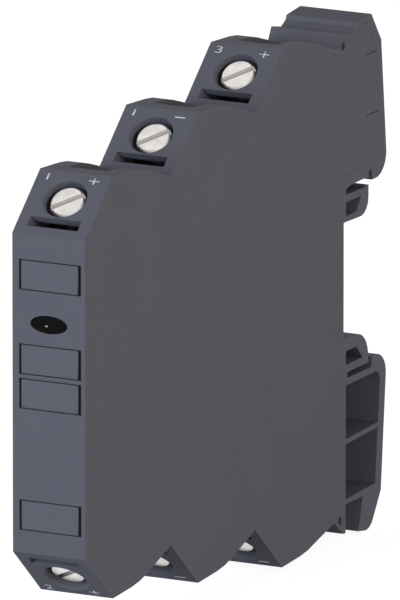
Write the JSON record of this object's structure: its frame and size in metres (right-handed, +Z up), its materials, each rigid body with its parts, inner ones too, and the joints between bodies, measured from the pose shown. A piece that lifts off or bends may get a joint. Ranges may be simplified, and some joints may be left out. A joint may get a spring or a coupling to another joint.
{
  "type": "signal isolator",
  "caption": "Slim rail-mounted signal isolator with stepped screw terminals above and below, flush marking plates, an oval lamp window, a fixed rail hook and a ribbed rail foot.",
  "frame": {"origin": "Middle of the rail seat: mid width, mid rail height, on the plane of the pads that the rail flanges bear on.", "axes": "+Z up along the height of the rail, +X along the rail to the covered side, +Y from the front face to the rail; the front looks along -Y."},
  "size_m": [0.014, 0.1154, 0.0937],
  "materials": {
    "shell_plastic": "fine moulded texture, blue grey",
    "cover_plastic": "fine moulded texture, neutral dark grey",
    "plate_plastic": "smooth moulded, blue grey",
    "lens_plastic": "smoked clear",
    "plated_steel": "bright nickel plate",
    "cage_steel": "zinc plate",
    "contact_copper": "bare copper alloy",
    "board_laminate": "solder mask",
    "ferrite": "sintered ferrite",
    "coil_wire": "enamelled wire and tape",
    "chip_plastic": "moulded package",
    "capacitor_sleeve": "shrink sleeve",
    "lamp_body": "clear lamp package"
  },
  "bodies": {
    "housing": {"housing_shell": "shell_plastic", "side_cover": "cover_plastic", "circuit_board": "board_laminate", "transformer_core": "ferrite", "transformer_coil": "coil_wire", "isolator_chip": "chip_plastic", "output_chip": "chip_plastic", "filter_capacitor": "capacitor_sleeve", "status_led": "lamp_body", "light_guide": "lens_plastic", "marking_plate_1": "plate_plastic", "marking_plate_2": "plate_plastic", "marking_plate_3": "plate_plastic", "marking_plate_4": "plate_plastic", "contact_bar_1": "contact_copper", "contact_bar_2": "contact_copper", "contact_bar_3": "contact_copper", "contact_bar_4": "contact_copper", "contact_bar_5": "contact_copper", "contact_bar_6": "contact_copper"},
    "screw_1": {"terminal_screw_1": "plated_steel"},
    "cage_1": {"clamp_cage_1": "cage_steel"},
    "screw_2": {"terminal_screw_2": "plated_steel"},
    "cage_2": {"clamp_cage_2": "cage_steel"},
    "screw_3": {"terminal_screw_3": "plated_steel"},
    "cage_3": {"clamp_cage_3": "cage_steel"},
    "screw_4": {"terminal_screw_4": "plated_steel"},
    "cage_4": {"clamp_cage_4": "cage_steel"},
    "screw_5": {"terminal_screw_5": "plated_steel"},
    "cage_5": {"clamp_cage_5": "cage_steel"},
    "screw_6": {"terminal_screw_6": "plated_steel"},
    "cage_6": {"clamp_cage_6": "cage_steel"}
  },
  "joints": [
    {"name": "screw_1_turn", "type": "hinge", "parent": "housing", "child": "screw_1", "pos_m": [0, -0.10215, 0.03367], "axis": [0, 0.6585, -0.7526], "range_deg": [0, 1080]},
    {"name": "cage_1_rise", "type": "slide", "parent": "housing", "child": "cage_1", "axis": [0, -0.6585, 0.7526], "range_m": [0, 0.0021]},
    {"name": "screw_2_turn", "type": "hinge", "parent": "housing", "child": "screw_2", "pos_m": [0, -0.06995, 0.03827], "axis": [0, 0.6585, -0.7526], "range_deg": [0, 1080]},
    {"name": "cage_2_rise", "type": "slide", "parent": "housing", "child": "cage_2", "axis": [0, -0.6585, 0.7526], "range_m": [0, 0.0021]},
    {"name": "screw_3_turn", "type": "hinge", "parent": "housing", "child": "screw_3", "pos_m": [0, -0.03775, 0.04287], "axis": [0, 0.6585, -0.7526], "range_deg": [0, 1080]},
    {"name": "cage_3_rise", "type": "slide", "parent": "housing", "child": "cage_3", "axis": [0, -0.6585, 0.7526], "range_m": [0, 0.0021]},
    {"name": "screw_4_turn", "type": "hinge", "parent": "housing", "child": "screw_4", "pos_m": [0, -0.10215, -0.03367], "axis": [0, 0.6585, 0.7526], "range_deg": [0, 1080]},
    {"name": "cage_4_rise", "type": "slide", "parent": "housing", "child": "cage_4", "axis": [0, -0.6585, -0.7526], "range_m": [0, 0.0021]},
    {"name": "screw_5_turn", "type": "hinge", "parent": "housing", "child": "screw_5", "pos_m": [0, -0.06995, -0.03827], "axis": [0, 0.6585, 0.7526], "range_deg": [0, 1080]},
    {"name": "cage_5_rise", "type": "slide", "parent": "housing", "child": "cage_5", "axis": [0, -0.6585, -0.7526], "range_m": [0, 0.0021]},
    {"name": "screw_6_turn", "type": "hinge", "parent": "housing", "child": "screw_6", "pos_m": [0, -0.03775, -0.04287], "axis": [0, 0.6585, 0.7526], "range_deg": [0, 1080]},
    {"name": "cage_6_rise", "type": "slide", "parent": "housing", "child": "cage_6", "axis": [0, -0.6585, -0.7526], "range_m": [0, 0.0021]}
  ],
  "couplings": [
    {"joint": "screw_1_turn", "follows": "cage_1_rise", "rad_per_m": 8975.9},
    {"joint": "screw_2_turn", "follows": "cage_2_rise", "rad_per_m": 8975.9},
    {"joint": "screw_3_turn", "follows": "cage_3_rise", "rad_per_m": 8975.9},
    {"joint": "screw_4_turn", "follows": "cage_4_rise", "rad_per_m": 8975.9},
    {"joint": "screw_5_turn", "follows": "cage_5_rise", "rad_per_m": 8975.9},
    {"joint": "screw_6_turn", "follows": "cage_6_rise", "rad_per_m": 8975.9}
  ]
}
